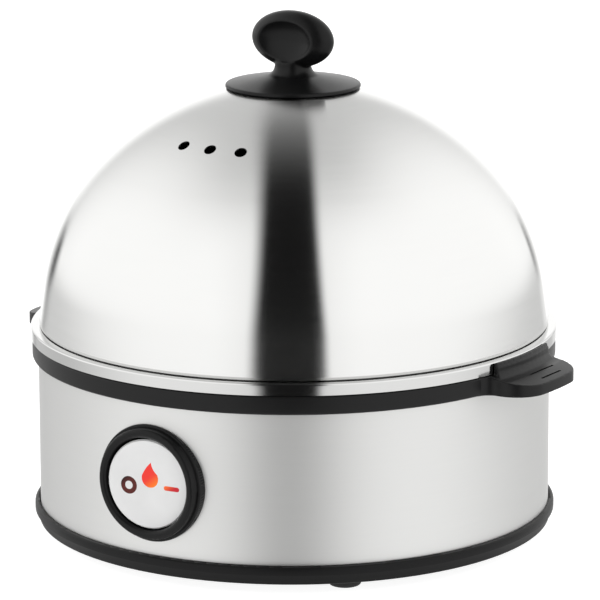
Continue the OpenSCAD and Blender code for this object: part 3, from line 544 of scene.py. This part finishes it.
lid_steps = 256
hem_lip = 1.4
hem_flare = 0.3
hem_round = 0.3
hem_gap = 0.1
edge_h = 1.2
edge_bevel = 0.2
edge_round = 0.15
skirt_foot = Vector((hem_r + 1.31, z_lid + 4))
skirt_lean = radians(7.85)
skirt_l = 10.8
shoulder_r = 73
shoulder_end = radians(42.6)
knob_hole_r = 2.3
vent_r = 2.05
vent_polar = radians(34.6)
vent_pitch = radians(12.7)


def lid_outline():
    """The hem in the seat of the bowl, its edge over the rim, then skirt, shoulder and crown."""
    skirt_top = skirt_foot + skirt_l * Vector((-sin(skirt_lean), cos(skirt_lean)))
    shoulder_centre = skirt_top - shoulder_r * Vector((cos(skirt_lean), sin(skirt_lean)))
    z_edge = z_rim_top + edge_h
    edge_r = skirt_foot.x + (skirt_foot.y - z_edge) * tan(skirt_lean)
    hem = rounded([
        (hem_r - hem_lip, z_lid),
        (hem_r, z_lid, hem_round),
        (hem_r + hem_flare, z_rim_top + hem_gap, 0),
        (edge_r - edge_bevel, z_rim_top + hem_gap + edge_bevel, edge_round),
        (edge_r, z_edge, hem_round),
        tuple(skirt_top),
    ], 8)
    shoulder = arc(shoulder_centre, shoulder_r, skirt_lean, shoulder_end, 30)
    crown = arc((0, crown_z), crown_r, shoulder_end, acos(knob_hole_r / crown_r), 44)
    return hem[:-1] + shoulder + crown[1:]


def make_lid():
    lid = revolve("lid_shell", sheet(lid_outline(), sheet_t), lid_steps)
    for i in (-1, 0, 1):
        turn = Matrix.Rotation(i * vent_pitch, 4, "Z") @ Matrix.Rotation(vent_polar, 4, "X")
        middle = turn @ Vector((0, 0, crown_r)) + Vector((0, 0, crown_z))
        cut(lid, pin(vent_r, 10, middle, turn.to_euler()))
    smooth(lid, radians(40))
    dress(lid, "lid_dome")


# --- Bowl and band -----------------------------------------------------------------------------

rim_r = bowl_high.x
rim_h = 3.85
seat_r = hem_r + 0.4
seat_slope = 0.6
tray_wall_r = seat_r - 2.4
z_tray = z_lid - 2.8
bowl_wall_r = tray_wall_r - 3.6
bowl_draft = 1.2
bowl_corner_r = 5
band_t = 0.6
bezel_hole_r = 17.15
gland_hole_r = 5.75


def make_bowl():
    """The rim, the seat of the lid, the ledge of the tray, the wall and the floor."""
    z_floor = bowl_low.z + sheet_t
    outline = rounded([
        (rim_r, z_rim_top - rim_h),
        (rim_r, z_rim_top, 0.6),
        (seat_r + seat_slope, z_rim_top, 0.4),
        (seat_r, z_lid, 0.4),
        (tray_wall_r, z_lid, 1),
        (tray_wall_r, z_tray, 1),
        (bowl_wall_r, z_tray, 1.2),
        (bowl_wall_r - bowl_draft, z_floor, bowl_corner_r),
        (0, z_floor),
    ], 10)
    bowl = revolve("bowl_shell", sheet(outline, sheet_t), lid_steps)
    smooth(bowl)
    dress(bowl, "boiling_bowl")


def make_band():
    """A tube with a hole for the switch in front and one for the cord gland at the back."""
    low, high, inner_r = band_low.z, band_high.z, band_r - band_t
    corners = ((band_r, low), (band_r, high), (inner_r, high), (inner_r, low), (band_r, low))
    band = revolve("band_sheet", [Vector(corner) for corner in corners], lid_steps)
    across = (pi / 2, 0, 0)
    cut(band, pin(bezel_hole_r, 16, (0, -band_r, node_middle("switch_bezel").z), across, 96))
    cut(band, pin(gland_hole_r, 8, (0, band_r, node_middle("cord_gland").z), across))
    smooth(band)
    dress(band, "housing_band")


# --- Knob --------------------------------------------------------------------------------------

under_knob_r = crown_r + gasket_t
disc_r = knob_high.x
z_disc = crown_z + sqrt(under_knob_r ** 2 - disc_r ** 2)
disc_edge_t = 0.85
disc_slope = 0.2
neck_r = 6.0
neck_cove_r = 3.4
neck_sink = 2.5
grip_half = Vector((15.3, 7.2, 9.45))
z_grip = z_crown + 13.2
scoop_w = 20
scoop_h = 13.6
scoop_depth = 2.9
scoop_inset = 0.25
insert_r = 3


def scoop(side):
    """A ball that dips scoop_depth into the grip, scoop_w by scoop_h where it enters."""
    rim_at = grip_half.y * sqrt(1 - (scoop_w / 2 / grip_half.x) ** 2) - scoop_inset
    half_depth = scoop_depth * 2.5
    spread = sqrt(1 - (1 - scoop_depth / half_depth) ** 2)
    middle = (0, side * (rim_at - scoop_depth + half_depth), z_grip)
    return ball(middle, (scoop_w / 2 / spread, half_depth, scoop_h / 2 / spread))


def make_knob():
    """A disc, a neck and a grip with a finger scoop on each side, hollow below to sit on the crown."""
    z_edge = z_disc + disc_edge_t
    z_neck = z_edge + (disc_r - neck_r) * disc_slope
    z_neck_top = z_grip - grip_half.z + neck_sink
    knob = revolve("knob_moulding", rounded([
        (0, z_disc - 1),
        (disc_r, z_disc - 1, 0),
        (disc_r, z_edge, 0.35),
        (neck_r, z_neck, neck_cove_r),
        (neck_r, z_neck_top, 0),
        (0, z_neck_top),
    ], 10), 96)
    grip = ball((0, 0, z_grip), grip_half)
    for side in (-1, 1):
        cut(grip, scoop(side))
    cut(knob, grip, "UNION")
    melt(knob, voxel=0.3, passes=10)
    cut(knob, ball((0, 0, crown_z), Vector((1, 1, 1)) * under_knob_r, 192, 128))
    cut(knob, pin(insert_r, 16, (0, 0, z_crown + gasket_t)))
    smooth(knob, radians(40))
    dress(knob, "lid_knob")


# --- Collar with handles -----------------------------------------------------------------------

collar_r = band_r + 2
collar_in = tray_wall_r + sheet_t + 0.5
collar_round = 0.7
tip_r = collar_high.x
handle_half_w = 18.6
handle_t = 4.7
handle_tip_t = 3.5
handle_sink = 1.5
z_handle = z_collar + handle_t
corner_r = 10.5
root_r = 5
root_ring = collar_r - 0.1
z_guard = collar_high.z
guard_gap = 0.3
guard_t = 1.6
guard_arc = radians(10.8)
guard_cove_r = 3
guard_step = 0.45
guard_step_h = 1.0
guard_in = rim_r + guard_gap
guard_out = guard_in + guard_t
ramp_l = 5
ramp_foot = guard_in + 0.6 * guard_t + ramp_l
groove_half_w = 0.35
groove_round = 0.2
# Each groove: how far outside the band it lies, its two ends in Y, and its depth below z_handle
grooves = ((8, -5, 10, 0.45), (12.2, -5, 7.5, 1.1))


def handle_plan():
    """A tab with round corners, which runs into the ring through a hollow root on each side."""
    corner_y = handle_half_w - corner_r
    corner_x = sqrt((tip_r - corner_r) ** 2 - corner_y ** 2)
    corner_lean = atan2(corner_y, corner_x)
    root_y = handle_half_w + root_r
    root_x = sqrt((root_ring + root_r) ** 2 - root_y ** 2)
    root_lean = atan2(root_y, root_x)
    sunk_r = collar_r - handle_sink
    upper = arc((0, 0), tip_r, 0, corner_lean, 6)
    upper += arc((corner_x, corner_y), corner_r, corner_lean, pi / 2, 16)[1:]
    upper += arc((root_x, root_y), root_r, -pi / 2, root_lean - pi, 12)
    upper += [sunk_r * Vector((cos(root_lean), sin(root_lean)))]
    lower = [Vector((point.x, -point.y)) for point in upper[:0:-1]]
    inside = arc((0, 0), sunk_r, root_lean, -root_lean, 12)[1:-1]
    return upper + inside + lower + upper[:1]


def body_section():
    """Half section: the top falls to the tip, and a hollow ramp rises to the foot of the guard wall."""
    rise = collar_h - handle_t
    ramp_r = (rise ** 2 + ramp_l ** 2) / (2 * rise)
    fall = (handle_t - handle_tip_t) / (tip_r - ramp_foot)
    inner, outer, low = collar_r - 2, tip_r + 1, z_collar - 1
    return [
        Vector((inner, low)),
        Vector((outer, low)),
        Vector((outer, z_handle - fall * (outer - ramp_foot))),
        *arc((ramp_foot, z_handle + ramp_r), ramp_r, -pi / 2, -pi / 2 - asin(ramp_l / ramp_r), 10),
        Vector((inner, z_handle + rise)),
        Vector((inner, low)),
    ]


def guard_section():
    """Half section: a deep cove from the handle's top up the wall, and a step under the wall's edge."""
    low = z_handle - 1
    cove_end = guard_out + guard_cove_r
    step_r = guard_out - guard_step
    return [
        Vector((guard_in, low)),
        Vector((cove_end + 0.6, low)),
        Vector((cove_end + 0.6, z_handle - 0.05)),
        *arc((cove_end, z_handle + guard_cove_r), guard_cove_r, -pi / 2, -pi, 10),
        Vector((guard_out, z_guard - guard_step_h - 0.3)),
        Vector((step_r, z_guard - guard_step_h)),
        Vector((step_r, z_guard)),
        Vector((guard_in, z_guard)),
        Vector((guard_in, low)),
    ]


def groove_cutter(reach, low_y, high_y, depth):
    inner, outer = band_r + reach - groove_half_w, band_r + reach + groove_half_w
    plan = rounded([
        (inner, low_y),
        (outer, low_y, groove_round),
        (outer, high_y, groove_round),
        (inner, high_y, groove_round),
        (inner, low_y),
    ])
    return raise_plan("groove", plan, z_handle - depth, z_rim + 2)


def make_handle():
    handle = raise_plan("collar_handle_right", handle_plan(), z_collar, z_rim + 1)
    cut(handle, revolve("body_section", body_section()), "INTERSECT")
    plan = arc((0, 0), guard_in - 1, -guard_arc, guard_arc, 12)
    plan += arc((0, 0), guard_out + 5, guard_arc, -guard_arc, 12)
    guard = raise_plan("guard", plan + plan[:1], z_handle - 2, z_guard + 1)
    cut(guard, revolve("guard_section", guard_section()), "INTERSECT")
    cut(handle, guard, "UNION")
    melt(handle, voxel=0.28, passes=5)
    for groove in grooves:
        cut(handle, groove_cutter(*groove))
    smooth(handle, radians(40))
    return handle


def make_collar():
    """The ring and its handles are modelled, and what hangs under the ring is the node's own shape."""
    ring = revolve("collar_ring", rounded([
        (collar_in, z_collar + 0.1),
        (collar_r, z_collar, collar_round),
        (collar_r, z_rim, collar_round),
        (collar_in, z_rim, 0.5),
        (collar_in, z_collar + 0.1),
    ]), 320)
    smooth(ring)
    handle = make_handle()
    other_handle = turned_copy(handle, "collar_handle_left", pi)
    hangers = welded_copy("collar", "collar_frame")
    keep_below(hangers, z_collar + 0.3)
    for part in (ring, handle, other_handle, hangers):
        dress(part, "collar")


# --- Studio ------------------------------------------------------------------------------------

# Levels are shares of room_strength, widths and heights are parts of a direction of length 1, and
# a pair is where a change starts and where it ends.
room_strength = 1.4
room_tone = (1.0, 1.0, 0.995)
gap_tone = (0.008, 0.008, 0.008)
gap_shift = 0.04
gap_half_w = 0.30
gap_taper = 0.08
table_gap_w = 0.73
gap_bottom = (-0.5, -0.4)
gap_fading = (radians(140), radians(80))
gap_faded = 0.55
gap_top = (radians(150), radians(115))
table_level = 0.53
table_front_level = 0.86
wall_level = 0.54
wall_front_level = 0.88
aside_level = 0.12
table_edge = (-0.12, -0.02)
white_behind = (-0.85, -0.97)


def room_level(direction):
    """How bright the room is: a dark gap rises from the table and runs over the camera.

    Forwards, upwards and sideways are the parts of the direction to the front, up and to the
    right. Rise is the angle from the front horizon up and over to the back.
    """
    def part_along(way):
        settings = {"operation": "DOT_PRODUCT"}
        sockets = {0: direction, 1: way}
        return direction.finish.add("ShaderNodeVectorMath", settings, sockets, output="Value")

    forwards = part_along(view_front)
    upwards = part_along(Vector((0, 0, 1)))
    sideways = part_along(view_right) + gap_shift
    aside = sideways.size()
    rise = upwards.angle_from(forwards)

    # The gap is narrower at the table and towards the top, and its right side is the sharper one
    right = (gap_half_w - rise * gap_taper) * (1 - upwards.between(-0.08, -0.2) * (1 - table_gap_w))
    left = right * -1
    gap = sideways.between(left - 0.04, left + 0.08) * sideways.between(right + 0.03, right - 0.05)
    gap = gap * (rise.between(*gap_fading) * (1 - gap_faded) + gap_faded)
    gap = gap * rise.between(*gap_top) * upwards.between(*gap_bottom)

    # Away from the gap, the walls and the table are a little brighter
    away = aside.between(0.15, 0.6) * aside_level
    behind = 1 - rise.between(radians(100), radians(50))
    front_walls = 1 - (1 - aside.between(0.25, 0.8)) * behind
    walls = front_walls * (wall_front_level - wall_level) + away + wall_level
    front_table = forwards.between(-0.6, 0.5) * (table_front_level - table_level) + table_level
    table = front_table * (away + (1 - aside_level))
    level = table + (walls - table) * upwards.between(*table_edge)
    level = level * (1 - gap)

    # Straight behind, the room is white
    return level + (1 - level) * forwards.between(*white_behind)


def add_studio():
    """The room and a glowing table. Metal doesn't mirror the table, but the room's lower half."""
    world = bpy.data.worlds.new("studio_light")
    bpy.context.scene.world = world
    world.use_nodes = True
    light = Finish("studio_light", world.node_tree)
    direction = light.add("ShaderNodeTexCoord", output="Generated")
    colour = light.mix(room_level(direction), gap_tone, room_tone)
    glow = light.add("ShaderNodeBackground", sockets={"Color": colour, "Strength": room_strength})
    light.add("ShaderNodeOutputWorld", sockets={"Surface": glow})

    deselect()
    bpy.ops.mesh.primitive_plane_add(size=20)
    table_top = bpy.context.object
    table_top.name = "light_table"
    table_top.visible_glossy = False
    paint = Finish("table_glass")
    glass = paint.surface((0.5, 0.5, 0.5), 0.9, emission_color=(1, 1, 1, 1), emission_strength=0.9)
    table_top.data.materials.append(glass)

    bpy.context.scene.view_settings.view_transform = "Standard"


add_camera()
make_lid()
make_bowl()
make_band()
make_knob()
make_collar()
for node in ("base_pan", "switch_bezel", "rocker_button", "egg_tray", "feet", "cord_gland"):
    dress(welded_copy(node, node + "_moulding"), node)
for node, finish in finish_of.items():
    data = frame["nodes"][node].data
    data.materials.clear()
    data.materials.append(finish)
add_studio()
